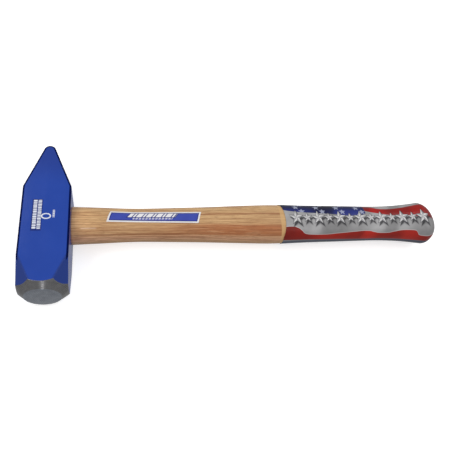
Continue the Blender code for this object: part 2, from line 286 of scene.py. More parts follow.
# ---- shader helpers ----
class Graph:
    """A material whose nodes are added and linked by short calls."""

    def __init__(self, name):
        self.material = bpy.data.materials.new(name)
        self.material.use_nodes = True
        self.nodes = self.material.node_tree.nodes
        self.links = self.material.node_tree.links
        self.shader = self.nodes["Principled BSDF"]

    def feed(self, socket, value):
        if isinstance(value, bpy.types.NodeSocket):
            self.links.new(value, socket)
        else:
            socket.default_value = value

    def set(self, **values):
        for name, value in values.items():
            self.feed(self.shader.inputs[name.replace("_", " ")], value)

    def math(self, operation, *values, clamp=False):
        node = self.nodes.new("ShaderNodeMath")
        node.operation = operation
        node.use_clamp = clamp
        for socket, value in zip(node.inputs, values):
            self.feed(socket, value)
        return node.outputs[0]

    def plus(self, first, second):
        return self.math("ADD", first, second)

    def minus(self, first, second):
        return self.math("SUBTRACT", first, second)

    def times(self, first, second):
        return self.math("MULTIPLY", first, second)

    def length(self, across, upward):
        return self.math("SQRT", self.plus(self.times(across, across), self.times(upward, upward)))

    def ramp(self, value, low, high, start=0.0, end=1.0, smooth=True):
        """value mapped from low..high to start..end, held at both ends."""
        node = self.nodes.new("ShaderNodeMapRange")
        node.interpolation_type = "SMOOTHSTEP" if smooth else "LINEAR"
        for socket, number in zip(node.inputs, (value, low, high, start, end)):
            self.feed(socket, number)
        return node.outputs[0]

    def band(self, value, low, high, soft):
        """1 where value lies between low and high, with soft edges."""
        rise = self.ramp(self.minus(value, low), -soft, soft)
        fall = self.ramp(self.minus(value, high), -soft, soft, 1.0, 0.0)
        return self.times(rise, fall)

    def place(self):
        """Object coordinates in millimetres: the vector, then x, y and height over the axis."""
        coordinates = self.nodes.new("ShaderNodeTexCoord").outputs["Object"]
        millimetres = self.vector("SCALE", coordinates, scale=1 / MM)
        centred = self.vector("SUBTRACT", millimetres, (0.0, 0.0, HALF / MM))
        return (centred, *self.split(centred))

    def around(self, y, z):
        """Degrees round the handle: 0 at the peen's side, 90 on top, from -90 to 270."""
        turn = self.math("ARCTAN2", self.math("DIVIDE", z, THICKNESS_RATIO), y)
        degrees = self.times(turn, 180 / math.pi)
        behind = self.math("LESS_THAN", degrees, -90.0)
        return self.plus(degrees, self.times(behind, 360.0))

    def vector(self, operation, first, second=None, scale=None):
        node = self.nodes.new("ShaderNodeVectorMath")
        node.operation = operation
        self.feed(node.inputs[0], first)
        if second is not None:
            self.feed(node.inputs[1], second)
        if scale is not None:
            self.feed(node.inputs["Scale"], scale)
        return node.outputs[0]

    def split(self, vector):
        node = self.nodes.new("ShaderNodeSeparateXYZ")
        self.feed(node.inputs[0], vector)
        return tuple(node.outputs)

    def combine(self, x, y, z):
        node = self.nodes.new("ShaderNodeCombineXYZ")
        for socket, value in zip(node.inputs, (x, y, z)):
            self.feed(socket, value)
        return node.outputs[0]

    def noise(self, vector, size, detail=2.0, roughness=0.5):
        """Noise whose features are size (a number or x, y, z) in the vector's units."""
        sizes = size if isinstance(size, tuple) else (size, size, size)
        node = self.nodes.new("ShaderNodeTexNoise")
        scaled = self.vector("MULTIPLY", vector, tuple(1 / side for side in sizes))
        self.feed(node.inputs["Vector"], scaled)
        for name, value in (("Scale", 1.0), ("Detail", detail), ("Roughness", roughness)):
            node.inputs[name].default_value = value
        return node.outputs["Fac"]

    def mix(self, factor, first, second):
        node = self.nodes.new("ShaderNodeMix")
        node.data_type = "RGBA"
        self.feed(node.inputs[0], factor)
        self.feed(node.inputs[6], first)
        self.feed(node.inputs[7], second)
        return node.outputs[2]

    def tint(self, colour, mask, share, target):
        """colour, taken a share of the way to target where mask is 1."""
        return self.mix(self.times(mask, share), colour, target)

    def shade(self, colour, brightness):
        """colour times a brightness."""
        return self.vector("SCALE", colour[:3], scale=brightness)

    def curve(self, value, stations):
        """A smooth curve of value through given (value, result) stations."""
        inputs = [station[0] for station in stations]
        results = [station[1] for station in stations]
        low, high = min(results), max(results)
        node = self.nodes.new("ShaderNodeFloatCurve")
        points = node.mapping.curves[0].points
        for index, (place, result) in enumerate(stations):
            spot = ((place - inputs[0]) / (inputs[-1] - inputs[0]), (result - low) / (high - low))
            if index in (0, len(stations) - 1):
                points[0 if index == 0 else -1].location = spot
            else:
                points.new(*spot)
        node.mapping.update()
        self.feed(node.inputs["Value"], self.ramp(value, inputs[0], inputs[-1], smooth=False))
        return self.ramp(node.outputs[0], 0.0, 1.0, low, high, smooth=False)

    def bump(self, height, distance, strength):
        node = self.nodes.new("ShaderNodeBump")
        node.inputs["Strength"].default_value = strength
        node.inputs["Distance"].default_value = distance
        self.feed(node.inputs["Height"], height)
        return node.outputs[0]

    def star(self, u, v, radius, soft):
        """A five-pointed star at u = v = 0, its tip towards -v: mask, and arm side from 0 to 1."""
        distance = self.length(u, v)
        turn = self.math("ARCTAN2", u, self.times(v, -1.0))
        fifth = 2 * math.pi / 5
        arm = self.math("DIVIDE", turn, fifth)
        within = self.minus(arm, self.math("ROUND", arm))
        off_tip = self.times(self.math("ABSOLUTE", within), fifth)
        inner = 0.42
        dip = math.pi / 5
        off_dip = self.math("SINE", self.minus(dip, off_tip))
        spread = self.plus(self.math("SINE", off_tip), self.times(off_dip, inner))
        edge = self.math("DIVIDE", radius * inner * math.sin(dip), spread)
        mask = self.ramp(self.minus(distance, edge), -soft, soft, 1.0, 0.0)
        return mask, self.ramp(within, -0.02, 0.02)


def srgb(red, green, blue):
    """A linear colour from display values of 0 to 255."""
    def linear(value):
        value /= 255
        return value / 12.92 if value <= 0.04045 else ((value + 0.055) / 1.055) ** 2.4
    return (linear(red), linear(green), linear(blue), 1.0)


# ---- materials ----
def peen_turn():
    """Angle of the peen's tapered flank from the straight one."""
    run = PEEN_SHOULDER_Y - PEEN_TIP_Y + PEEN_NOSE_RADIUS
    return math.atan2(run, HALF) + math.acos(PEEN_NOSE_RADIUS / math.hypot(run, HALF))


def head_surfaces(g, x, y, z):
    """Millimetres in from the flank, the cheek and the chamfer, and 1 on a facet of the poll."""
    half = HALF / MM
    across = g.math("ABSOLUTE", x)
    side = g.minus(half, across)
    turn = peen_turn()
    taper = g.plus(g.times(side, math.cos(turn)),
                   g.times(g.minus(PEEN_SHOULDER_Y / MM, y), math.sin(turn)))
    up = g.minus(y, (PEEN_TIP_Y - PEEN_NOSE_RADIUS) / MM)
    below_nose = g.math("LESS_THAN", g.times(up, math.cos(turn)), g.times(across, math.sin(turn)))
    nose = g.minus(PEEN_NOSE_RADIUS / MM, g.length(x, up))
    nose = g.plus(nose, g.times(below_nose, FAR_MM))
    flank = g.math("MINIMUM", g.math("MINIMUM", side, taper), nose)
    cheek = g.minus(half, g.math("ABSOLUTE", z))
    cone_y = g.math("DIVIDE", g.minus(g.length(x, z), FACE_RADIUS / MM), CONE_SLOPE)
    cone = g.minus(y, g.plus((FACE_Y + FACE_CROWN) / MM, cone_y))
    facet_rate = (HALF - POLL_FLAT / 2) / (FACET_START_Y - FACET_END_Y)
    facet_cut = g.times(g.minus(FACET_START_Y / MM, y), facet_rate)
    on_facet = g.ramp(g.minus(g.plus(side, cheek), facet_cut), 0.2, 1.6, 1.0, 0.0)
    return flank, cheek, cone, on_facet


def blue_enamel(g, place, x, y, z, edges, on_facet):
    """Paint: a little uneven and deeper blue round the cheek marks, with painted shade that darkens the
    facets and turns the edges nearly black.
    """
    cloud = g.noise(place, 26.0, 3.0)
    blue = g.mix(cloud, srgb(26, 62, 152), srgb(36, 72, 168))
    blue = g.mix(g.ramp(y, 25.0, 65.0, 0.0, 0.8), blue, srgb(32, 58, 142))
    speck = g.ramp(g.noise(place, 0.55, 1.0), 0.72, 0.80)
    blue = g.tint(blue, speck, 0.18, srgb(90, 118, 200))
    marked = g.times(g.band(x, *MARKED_X_MM, 0.4), g.band(y, *MARKED_Y_MM, 0.4))
    marked = g.times(marked, g.ramp(z, HALF / MM - 0.2, HALF / MM - 0.1))
    blue = g.tint(blue, marked, 0.70, srgb(10, 20, 92))
    # Painted shade: the facets of the poll are darker than the cheeks
    blue = g.tint(blue, on_facet, 0.55, srgb(28, 46, 104))
    # Painted shade: nearly black on the edges
    return g.mix(edges, blue, srgb(9, 18, 66))


def ground_steel(g, place, x, y, z, on_face):
    """Bare steel, and its grinding marks: rings on the chamfer and straight strokes on the face, with
    painted shade low down.
    """
    turned = g.combine(g.length(x, z), g.times(g.math("ARCTAN2", x, z), 2.0), y)
    rings = g.noise(turned, (0.28, 6.0, 0.28), 3.0, 0.6)
    strokes = g.noise(place, (7.0, 3.0, 0.22), 3.0, 0.65)
    grinding = g.plus(g.times(rings, g.minus(1.0, on_face)), g.times(strokes, on_face))
    tarnish = g.ramp(g.noise(place, 5.0, 4.0, 0.6), 0.3, 0.75)
    face = g.mix(tarnish, srgb(158, 164, 174), srgb(134, 140, 151))
    chamfer = g.mix(tarnish, srgb(132, 131, 132), srgb(108, 107, 108))
    steel = g.mix(on_face, chamfer, face)
    steel = g.tint(steel, grinding, 0.35, srgb(164, 166, 171))
    # Painted shade: the steel turns nearly black towards the bottom of the head
    low_shade = g.ramp(z, -13.0, -18.5)
    return g.tint(steel, low_shade, 0.8, srgb(40, 41, 44)), grinding


def enamel_and_steel():
    """Glossy blue enamel over forged steel, with the face and its chamfer ground bare."""
    g = Graph("enamel_and_ground_steel")
    place, x, y, z = g.place()
    flank, cheek, cone, on_facet = head_surfaces(g, x, y, z)

    # Edges, which get painted shade and less gloss: a point near one is near both of the surfaces that
    # meet there
    near = [g.ramp(distance, 1.25, 1.9, 1.0, 0.0) for distance in (flank, cheek)]
    edges = g.math("SUBTRACT", g.plus(near[0], near[1]), 1.0, clamp=True)

    # Bare steel: on the chamfer and on the face, with a slightly ragged paint line
    ragged = g.times(g.minus(g.noise(place, 0.9, 3.0), 0.5), 0.35)
    on_cone = g.ramp(g.plus(cone, ragged), 0.16, 0.30, 1.0, 0.0)
    on_face = g.ramp(y, FACE_Y / MM + 0.5, FACE_Y / MM + 0.8, 1.0, 0.0)
    bare = g.math("MAXIMUM", on_cone, on_face)
    painted = g.minus(1.0, bare)
    blue = blue_enamel(g, place, x, y, z, edges, on_facet)
    steel, grinding = ground_steel(g, place, x, y, z, on_face)

    # Orange peel and forging marks under the paint, grinding marks in the steel
    peel = g.noise(place, 1.6, 2.0)
    forging = g.noise(place, 9.0, 3.0)
    relief = g.plus(g.times(g.plus(g.times(peel, 0.12), forging), painted),
                    g.times(grinding, g.times(bare, 0.10)))
    enamel_roughness = g.ramp(g.noise(place, 14.0, 3.0), 0.3, 0.7, 0.16, 0.24)
    steel_roughness = g.ramp(grinding, 0.3, 0.7, 0.20, 0.34)
    roughness = g.plus(g.times(enamel_roughness, painted), g.times(steel_roughness, bare))
    gloss = g.ramp(edges, 0.0, 0.5, 0.34, 0.0)
    g.set(Base_Color=g.mix(bare, blue, steel), Metallic=bare, Roughness=roughness,
          Specular_IOR_Level=gloss, Normal=g.bump(relief, 0.00010, 0.6))
    return g.material


def grain(g, place, y, z):
    """Growth rings round a pith outside the blank: pale early wood and dark late wood, 0 to 1."""
    wander = g.times(g.minus(g.noise(place, (110.0, 12.0, 12.0), 3.0), 0.5), 5.0)
    from_pith = g.length(g.plus(y, 26.0), g.plus(z, 48.0))
    ring = g.math("FRACT", g.math("DIVIDE", g.plus(from_pith, wander), 2.1))
    return g.ramp(ring, 0.0, 0.25, 1.0, 0.0), g.math("POWER", ring, 6.0)


# Long dark lines: middle and half width in degrees round the handle, start and end in
# millimetres along it, and strength
FIGURE_LINES = (
    (80.5, 2.2, 112, 230, 0.75), (146, 2.2, 10, 120, 0.80),
    (145, 2.2, 120, 230, 0.40), (134, 1.8, 108, 230, 0.32),
    (69.5, 2, 14, 46, 0.45), (120, 1.6, 140, 230, 0.30),
    (132, 1.6, 10, 90, 0.45), (158, 1.8, 10, 140, 0.40),
    (106, 1.4, 10, 70, 0.35), (88, 1.2, 10, 44, 0.35),
    (38, 2.4, 30, 190, 0.40), (10, 3, 60, 230, 0.45),
    (-24, 2.2, 20, 160, 0.45), (-60, 3, 40, 230, 0.40),
    (205, 2.6, 20, 170, 0.45), (242, 2.2, 70, 230, 0.40),
)


def hickory_figure(g, place, x, angle, wood):
    """Colour of the blank: pale on top and darker down the face side and underneath, which is board
    figure with painted light from above in it; orange heartwood low towards the grip, a painted
    reflection along the lower edge of the face side, a pale spot beside the head, and long dark lines."""
    bend = g.minus(g.noise(place, (90.0, 60.0, 60.0), 2.0), 0.5)
    angle = g.plus(angle, g.times(bend, 9.0))
    # Painted light from above, mixed with board figure: paler on top, darker down the face side and
    # underneath
    pale = g.curve(angle, (
        (-90, 0.2), (-20, 0.5), (40, 0.75), (62, 0.9), (80, 0.65), (98, 0.7), (112, 0.45),
        (128, 0.15), (150, 0.1), (168, 0.2), (200, 0.3), (270, 0.2)))
    wood = g.tint(wood, pale, 0.60, srgb(222, 188, 136))
    heart = g.times(g.band(angle, 116.0, 152.0, 5.0), g.ramp(x, 70.0, 165.0))
    wood = g.tint(wood, heart, 0.78, srgb(176, 100, 54))
    # Painted reflection: a paler, pinker band along the lower edge of the face side
    low_reflection = g.band(angle, 152.0, 178.0, 5.0)
    wood = g.tint(wood, low_reflection, 0.60, srgb(228, 176, 142))
    pale_spot = g.times(g.band(angle, 121.5, 125.0, 0.8), g.band(x, 28.5, 41.5, 1.5))
    wood = g.tint(wood, pale_spot, 0.65, srgb(244, 218, 190))
    for middle, half, start, end, strength in FIGURE_LINES:
        line = g.times(g.band(angle, middle - half, middle + half, 1.4), g.band(x, start, end, 9.0))
        wood = g.tint(wood, line, strength, srgb(132, 70, 38))
    return wood


def hickory():
    """Lacquered hickory: figure, rings, fibres and pores along X, and a clear ring at the film."""
    g = Graph("lacquered_hickory")
    place, x, y, z = g.place()
    angle = g.around(y, z)
    early_wood, late_wood = grain(g, place, y, z)
    fibre = g.noise(place, (26.0, 0.55, 0.55), 3.0, 0.65)
    streak = g.noise(place, (70.0, 0.95, 0.95), 3.0, 0.65)
    coarse = g.noise(place, (90.0, 3.2, 3.2), 2.0)
    thread = g.noise(place, (130.0, 1.3, 1.3), 2.0, 0.6)
    pores = g.times(g.ramp(g.noise(place, (7.0, 0.30, 0.30), 1.0), 0.58, 0.68),
                    g.plus(0.35, g.times(early_wood, 0.65)))

    wood = g.mix(coarse, srgb(206, 162, 116), srgb(186, 142, 98))
    wood = hickory_figure(g, place, x, angle, wood)
    wood = g.tint(wood, late_wood, 0.35, srgb(140, 80, 44))
    wood = g.tint(wood, g.ramp(streak, 0.50, 0.62), 0.48, srgb(142, 88, 52))
    wood = g.tint(wood, g.ramp(streak, 0.47, 0.37), 0.24, srgb(230, 196, 150))
    wood = g.tint(wood, g.ramp(fibre, 0.50, 0.62), 0.42, srgb(142, 92, 56))
    wood = g.tint(wood, g.band(thread, 0.485, 0.515, 0.02), 0.45, srgb(128, 76, 42))
    wood = g.tint(wood, pores, 0.70, srgb(96, 58, 34))
    # Painted light: the wood is made paler near the head, against the shade the head casts there
    wood = g.vector("SCALE", wood, scale=g.ramp(x, 19.0, 50.0, 1.30, 1.03))

    # Cut end of the tenon: darker, because the lacquer soaks into the open pores
    tenon_end = g.ramp(x, TENON_END_X / MM + 0.1, TENON_END_X / MM + 0.4, 1.0, 0.0)
    cut = g.tint(srgb(172, 122, 78), late_wood, 0.8, srgb(104, 62, 36))
    cut = g.tint(cut, pores, 0.9, srgb(66, 40, 26))
    wood = g.mix(tenon_end, wood, cut)

    start = SLEEVE_START_X / MM
    clear_strip = g.band(x, start - CLEAR_STRIP_MM, start + 40.0, 0.15)
    wood = g.tint(wood, clear_strip, 0.75, srgb(208, 168, 114))
    relief = g.minus(g.times(fibre, 0.4), pores)
    g.set(Base_Color=wood, Roughness=g.ramp(fibre, 0.3, 0.7, 0.36, 0.50),
          Normal=g.bump(relief, 0.00006, 0.5), Specular_IOR_Level=0.3, Coat_Weight=0.25,
          Coat_Roughness=0.18)
    return g.material


def wedge_hardwood():
    """Pale unlacquered wedge wood with fine straight lines across its end."""
    g = Graph("raw_hardwood")
    place, _, y, z = g.place()
    lines = g.noise(place, (14.0, 2.4, 0.34), 3.0, 0.6)
    pores = g.ramp(g.noise(place, (4.0, 0.24, 0.24), 1.0), 0.60, 0.70)
    crushed = g.ramp(g.noise(place, 2.2, 3.0), 0.35, 0.75)
    wood = g.mix(lines, srgb(232, 208, 164), srgb(204, 170, 122))
    wood = g.tint(wood, crushed, 0.30, srgb(168, 130, 88))
    wood = g.tint(wood, pores, 0.55, srgb(132, 94, 60))
    g.set(Base_Color=wood, Roughness=g.ramp(lines, 0.3, 0.7, 0.55, 0.75),
          Normal=g.bump(g.minus(lines, pores), 0.00008, 0.6))
    return g.material


def cloth_colours(g, x, angle):
    """The print's pale grey, red, a darker deeper red for the top band that is painted shade against
    the sheen there, and blue, lit and shaded by folds that run aslant.
    """
    slant = g.plus(x, g.times(g.minus(angle, 125.0), 0.12))
    mottle = g.noise(g.combine(x, g.times(angle, 0.3), 0.0), 11.0, 3.0)
    mottle = g.ramp(mottle, 0.3, 0.7, 0.90, 1.10)
    pale_light = g.curve(slant, (
        (205, 0.98), (226, 0.98), (233, 0.93), (241, 1.10), (250, 0.80), (261, 0.60), (273, 0.64),
        (284, 0.78), (297, 0.84), (307, 1.06), (316, 0.76), (323, 0.64), (332, 0.96), (340, 0.94),
        (349, 0.72), (374, 0.68)))
    red_light = g.curve(slant, (
        (205, 0.40), (225, 0.58), (241, 0.80), (252, 1.02), (266, 1.04), (276, 0.92), (287, 0.74),
        (293, 0.80), (300, 1.30), (308, 1.12), (317, 0.80), (333, 0.78), (342, 1.10), (350, 0.98),
        (362, 0.72), (374, 0.66)))
    blue_light = g.curve(slant, (
        (205, 0.55), (222, 0.80), (234, 0.60), (244, 0.28), (254, 0.34), (263, 0.95), (278, 1.00),
        (288, 0.75), (300, 0.60)))
    # Painted shade: the blue darkens towards the top edge of the grip
    blue_light = g.times(blue_light, g.ramp(angle, 52.0, 74.0, 0.35, 1.0))
    return (g.shade(srgb(160, 159, 160), g.times(pale_light, mottle)),
            g.shade(srgb(162, 36, 26), g.times(red_light, mottle)),
            # Painted shade: a darker, deeper copy of the red, for the band on top
            g.shade(srgb(146, 12, 6), g.times(red_light, mottle)),
            g.shade(srgb(34, 46, 122), g.times(blue_light, mottle)))


def printed_film():
    """Glossy print of a waving striped cloth: blue field with stars, red and pale grey bands."""
    g = Graph("printed_film")
    place, x, y, z = g.place()
    angle = g.around(y, z)
    line = 0.7  # softness of a printed edge, in degrees
    pale, red, shaded_top_red, blue = cloth_colours(g, x, angle)

    # Outlines of the bands, as degrees round the handle (0 at the peen's side, 90 on top)
    low_red_top = g.curve(x, (
        (212, 126), (219, 122), (224, 125), (229, 135), (236, 148), (249, 150), (266, 146),
        (284, 141), (294, 139), (303, 144), (312, 148), (324, 142), (336, 136), (344, 136),
        (348, 144), (351, 153), (357, 154), (366, 151)))
    low_red_end = g.curve(x, ((212, 171), (260, 174), (300, 178), (340, 178), (374, 172)))
    field_end = g.curve(x, (
        (212, 68), (220, 73), (240, 78), (260, 82), (277, 87), (287, 90), (293, 84), (304, 60)))
    high_red_top = g.curve(x, (
        (294, 40), (304, 47), (320, 61), (332, 59), (345, 54), (357, 50), (374, 48)))
    high_red_end = g.curve(x, (
        (294, 66), (300, 72), (310, 79), (324, 87), (342, 91), (354, 95), (374, 102)))
    past_field = g.ramp(x, *FIELD_END_MM)

    # Small stars on the field, a painted highlight line above the lower red band, and painted shade
    # that turns the pale dark grey below it, along the lower edge
    blue = g.tint(blue, star_field(g, x, angle), 0.7, srgb(176, 182, 204))
    highlight_line = g.band(angle, g.minus(low_red_top, 2.2), low_red_top, line)
    pale = g.tint(pale, highlight_line, 0.5, srgb(214, 210, 208))
    # Painted shade: dark grey along the lower edge, below the lower red band
    pale = g.mix(g.ramp(angle, 168.0, 180.0), pale, srgb(92, 96, 108))

    # Bands, one over another; on the hidden side they are plain and lead round to the field
    bands = (
        (g.band(angle, low_red_top, low_red_end, line), red),
        (g.band(angle, 205.0, 232.0, line), red),
        (g.band(angle, -90.0, -62.0, line), red),
        (g.times(g.band(angle, -34.0, -6.0, line), g.math("GREATER_THAN", x, 300.0)), red),
        (g.times(g.band(angle, high_red_top, high_red_end, line), past_field), shaded_top_red),
        (g.times(g.band(angle, -48.0, field_end, line), g.minus(1.0, past_field)), blue),
        (g.band(angle, 184.0, 190.0, line), srgb(24, 30, 62)),
    )
    ink = pale
    for mask, colour in bands:
        ink = g.mix(mask, ink, colour)
    ink = silver_stars(g, x, angle, ink)
    ink = g.mix(end_patch(g, x, y, z), ink, srgb(150, 149, 151))
    # Painted shade: the print darkens over the last millimetres before the butt
    ink = g.vector("SCALE", ink, scale=g.ramp(x, 362.0, 371.0, 1.0, 0.78))

    scuff = g.noise(place, (3.0, 0.5, 0.5), 3.0, 0.7)
    g.set(Base_Color=ink, Roughness=g.ramp(scuff, 0.3, 0.8, 0.28, 0.44),
          Normal=g.bump(g.noise(place, (9.0, 2.5, 2.5), 3.0), 0.00012, 0.5),
          Specular_IOR_Level=0.22, Coat_Weight=0.12, Coat_Roughness=0.12)
    return g.material


def end_patch(g, x, y, z):
    """The round patch that closes the film over the middle of the butt."""
    radius = g.length(y, g.math("DIVIDE", z, THICKNESS_RATIO))
    return g.times(g.ramp(radius, 6.6, 7.0, 1.0, 0.0), g.math("GREATER_THAN", x, DOME_START_X / MM))


def repeated(g, x, start, pitch):
    """Distance along x from the nearest of many evenly spaced centres, and which one it is."""
    step = g.math("DIVIDE", g.minus(x, start), pitch)
    nearest = g.math("ROUND", step)
    return g.times(g.minus(step, nearest), pitch), nearest


def star_field(g, x, angle):
    """Small stars in staggered rows."""
    row_pitch, pitch, stagger, size = 18.0, 20.6, 5.1, 3.6
    v, row = repeated(g, angle, 73.0, row_pitch)
    shift = g.times(g.math("PINGPONG", row, 1.0), stagger)
    u, _ = repeated(g, g.plus(x, shift), 251.9, pitch)
    mask, _ = g.star(u, g.times(v, AROUND_MM), size, 0.14)
    return mask


def silver_stars(g, x, angle, below):
    """A row of large and small bevelled silver stars with drop shadows, along the grip's top."""
    middle, first, pitch, count = 94.0, 224.6, 21.8, 7
    large, small, rim_width = 6.9, 4.6, 0.8
    last = first + (count - 1) * pitch
    rows = ((first, large, g.band(x, first - 9.0, last + 10.0, 0.1)),
            (first + pitch / 2, small, g.band(x, first + 1.0, last - 1.0, 0.1)))
    v = g.times(g.minus(angle, middle), AROUND_MM)
    colour = below
    for start, size, on_row in rows:
        u, _ = repeated(g, x, start, pitch)
        shadow, _ = g.star(g.minus(u, 1.1), g.minus(v, 2.3), size + 1.3, 1.7)
        colour = g.tint(colour, g.times(shadow, on_row), 0.92, srgb(34, 33, 38))
    for start, size, on_row in rows:
        u, _ = repeated(g, x, start, pitch)
        rim, _ = g.star(u, v, size + rim_width, 0.14)
        colour = g.mix(g.times(rim, on_row), colour, srgb(62, 62, 67))
        mask, arm_side = g.star(u, v, size, 0.12)
        silver = g.mix(arm_side, srgb(206, 205, 205), srgb(146, 145, 148))
        colour = g.mix(g.times(mask, on_row), colour, silver)
    return colour


def label_print():
    """Blue label with a white border, slanted white blocks and a thin line of dashes."""
    g = Graph("label_print")
    attribute = g.nodes.new("ShaderNodeAttribute")
    attribute.attribute_name = "label_place"
    u, v, width = g.split(attribute.outputs["Vector"])
    length = (LABEL_END_X - LABEL_START_X) / MM
    line = 0.10
    border = 1.5
    slope = 0.45
    from_ends = g.math("MINIMUM", u, g.minus(length, u))
    from_sides = g.math("MINIMUM", v, g.minus(width, v))
    depth = g.minus(g.math("MINIMUM", from_ends, from_sides), border)
    panel = g.ramp(depth, -line, line)
    slanted = g.plus(u, g.times(v, slope))
    bar, _ = repeated(g, slanted, 22.0, 8.6)
    blocks = g.math("MAXIMUM", g.band(bar, -3.6, 1.2, line), g.band(bar, 2.2, 4.0, line))
    block_row = g.times(g.band(slanted, 19.8, 61.6, line), g.band(v, 2.2, 6.5, line))
    dash, _ = repeated(g, slanted, 26.0, 2.9)
    dashes = g.band(dash, -1.0, 1.0, line)
    dash_row = g.times(g.band(slanted, 25.5, 60.5, line), g.band(v, 7.7, 8.7, line))
    marks = g.math("MAXIMUM", g.times(blocks, block_row), g.times(dashes, dash_row))
    fade = g.noise(g.combine(u, v, 0.0), 9.0, 3.0)
    blue = g.mix(fade, srgb(44, 60, 158), srgb(58, 76, 176))
    behind = g.times(g.band(slanted, 18.9, 62.5, 0.4), g.band(v, 1.6, 7.2, 0.4))
    outline = g.math("MAXIMUM", g.ramp(depth, 0.4, 1.3, 1.0, 0.0), behind)
    blue = g.tint(blue, outline, 0.75, srgb(12, 18, 92))
    white = g.mix(fade, srgb(226, 224, 226), srgb(242, 240, 240))
    colour = g.mix(g.times(panel, g.minus(1.0, marks)), white, blue)
    g.set(Base_Color=colour, Roughness=g.ramp(fade, 0.3, 0.7, 0.28, 0.38),
          Normal=g.bump(fade, 0.00004, 0.4), Coat_Weight=0.3, Coat_Roughness=0.15)
    return g.material


def wedge_steel():
    """Mill steel with hammer marks and a little rust in the pits."""
    g = Graph("wedge_steel")
    place, _, _, _ = g.place()
    dents = g.noise(place, 1.8, 3.0)
    rust = g.ramp(g.noise(place, 0.9, 4.0, 0.7), 0.56, 0.70)
    steel = g.mix(dents, srgb(120, 120, 122), srgb(168, 168, 170))
    g.set(Base_Color=g.tint(steel, rust, 0.5, srgb(112, 74, 48)),
          Metallic=g.ramp(rust, 0.0, 1.0, 1.0, 0.4), Roughness=g.ramp(dents, 0.3, 0.7, 0.32, 0.55),
          Normal=g.bump(dents, 0.0002, 0.7))
    return g.material


def white_print():
    """Screen-printed white paint, thin at its edges."""
    g = Graph("white_print")
    place, _, _, _ = g.place()
    thin = g.noise(place, 0.8, 3.0)
    g.set(Base_Color=g.mix(g.ramp(thin, 0.35, 0.75), srgb(236, 238, 244), srgb(196, 204, 226)),
          Roughness=g.ramp(thin, 0.3, 0.7, 0.35, 0.5), Normal=g.bump(thin, 0.00003, 0.5))
    return g.material


def floor_surface():
    """Matt white paper with a faint glow of its own, which lifts the shadows on it."""
    g = Graph("light_table")
    place, _, _, _ = g.place()
    tooth = g.noise(place, 2.5, 3.0)
    g.set(Base_Color=g.mix(tooth, (0.80, 0.80, 0.80, 1.0), (0.84, 0.84, 0.84, 1.0)),
          Roughness=g.ramp(tooth, 0.3, 0.7, 0.85, 0.95), Emission_Color=(1.0, 1.0, 1.0, 1.0),
          Emission_Strength=FLOOR_GLOW)
    return g.material


# ---- head ----
def head_outline():
    """Plan of the head, from its face end round the peen's nose, counter-clockwise."""
    centre_y = PEEN_TIP_Y - PEEN_NOSE_RADIUS
    points = [(HALF, FACE_Y - OVERRUN), (HALF, PEEN_SHOULDER_Y)]
    for angle in between(peen_turn(), math.pi - peen_turn(), 25):
        points.append((PEEN_NOSE_RADIUS * math.cos(angle),
                       centre_y + PEEN_NOSE_RADIUS * math.sin(angle)))
    return points + [(-HALF, PEEN_SHOULDER_Y), (-HALF, FACE_Y - OVERRUN)]


def head_blank(look):
    """The bar and its peen, with long edges already rounded."""
    shape = bmesh.new()
    base = shape.faces.new([shape.verts.new((x, y, 0.0)) for x, y in head_outline()])
    raised = bmesh.ops.extrude_face_region(shape, geom=[base])["geom"]
    top = [item for item in raised if isinstance(item, bmesh.types.BMVert)]
    bmesh.ops.translate(shape, verts=top, vec=(0.0, 0.0, 2 * HALF))
    bmesh.ops.recalc_face_normals(shape, faces=shape.faces)
    sharp = [edge for edge in shape.edges if edge.calc_face_angle(0.0) > BEVELLED_ABOVE]
    bmesh.ops.bevel(shape, geom=sharp, offset=LONG_EDGE_RADIUS, segments=5, profile=0.5,
                    affect="EDGES")
    return object_from_bmesh("head_forging", shape, look)


def facet_block(side_x, side_z):
    """A cube whose lower face is the plane of one of the poll's four facets."""
    half_flat = POLL_FLAT / 2
    start = Vector((side_x * HALF, FACET_START_Y, side_z * HALF))
    on_side = Vector((side_x * HALF, FACET_END_Y, side_z * half_flat))
    on_cheek = Vector((side_x * half_flat, FACET_END_Y, side_z * HALF))
    normal = (on_side - start).cross(on_cheek - start).normalized()
    if normal.dot(start) < 0:
        normal.negate()
    size = 4 * HALF
    shape = bmesh.new()
    bmesh.ops.create_cube(shape, size=size)
    block = object_from_bmesh("facet_block", shape)
    block.location = AXIS + (on_side + on_cheek) / 2 + normal * size / 2
    block.rotation_euler = normal.to_track_quat("Z", "Y").to_euler()
    return block


def face_former(steps=144):
    """Turned solid with the crowned face and the cone chamfer, wide beyond them."""
    wide = 3 * HALF
    face = -FACE_Y
    rim = face - FACE_CROWN
    profile = [(0.0, face)]
    for index in range(7):
        reach = index / 6
        profile.append((FACE_FLAT_RADIUS + (FACE_RADIUS - FACE_FLAT_RADIUS) * reach,
                        face - FACE_CROWN * reach**2))
    profile += [(wide, rim - (wide - FACE_RADIUS) / CONE_SLOPE), (wide, -2 * PEEN_TIP_Y),
                (0.0, -2 * PEEN_TIP_Y)]
    shape = bmesh.new()
    corners = [shape.verts.new((radius, 0.0, height)) for radius, height in profile]
    for start, end in zip(corners, corners[1:]):
        shape.edges.new((start, end))
    bmesh.ops.spin(shape, geom=shape.verts[:] + shape.edges[:], cent=(0, 0, 0), axis=(0, 0, 1),
                   angle=2 * math.pi, steps=steps, use_merge=True)
    bmesh.ops.remove_doubles(shape, verts=shape.verts, dist=0.000001)
    bmesh.ops.recalc_face_normals(shape, faces=shape.faces)
    former = object_from_bmesh("face_former", shape)
    former.location = AXIS
    former.rotation_euler = (math.pi / 2, 0.0, 0.0)
    return former


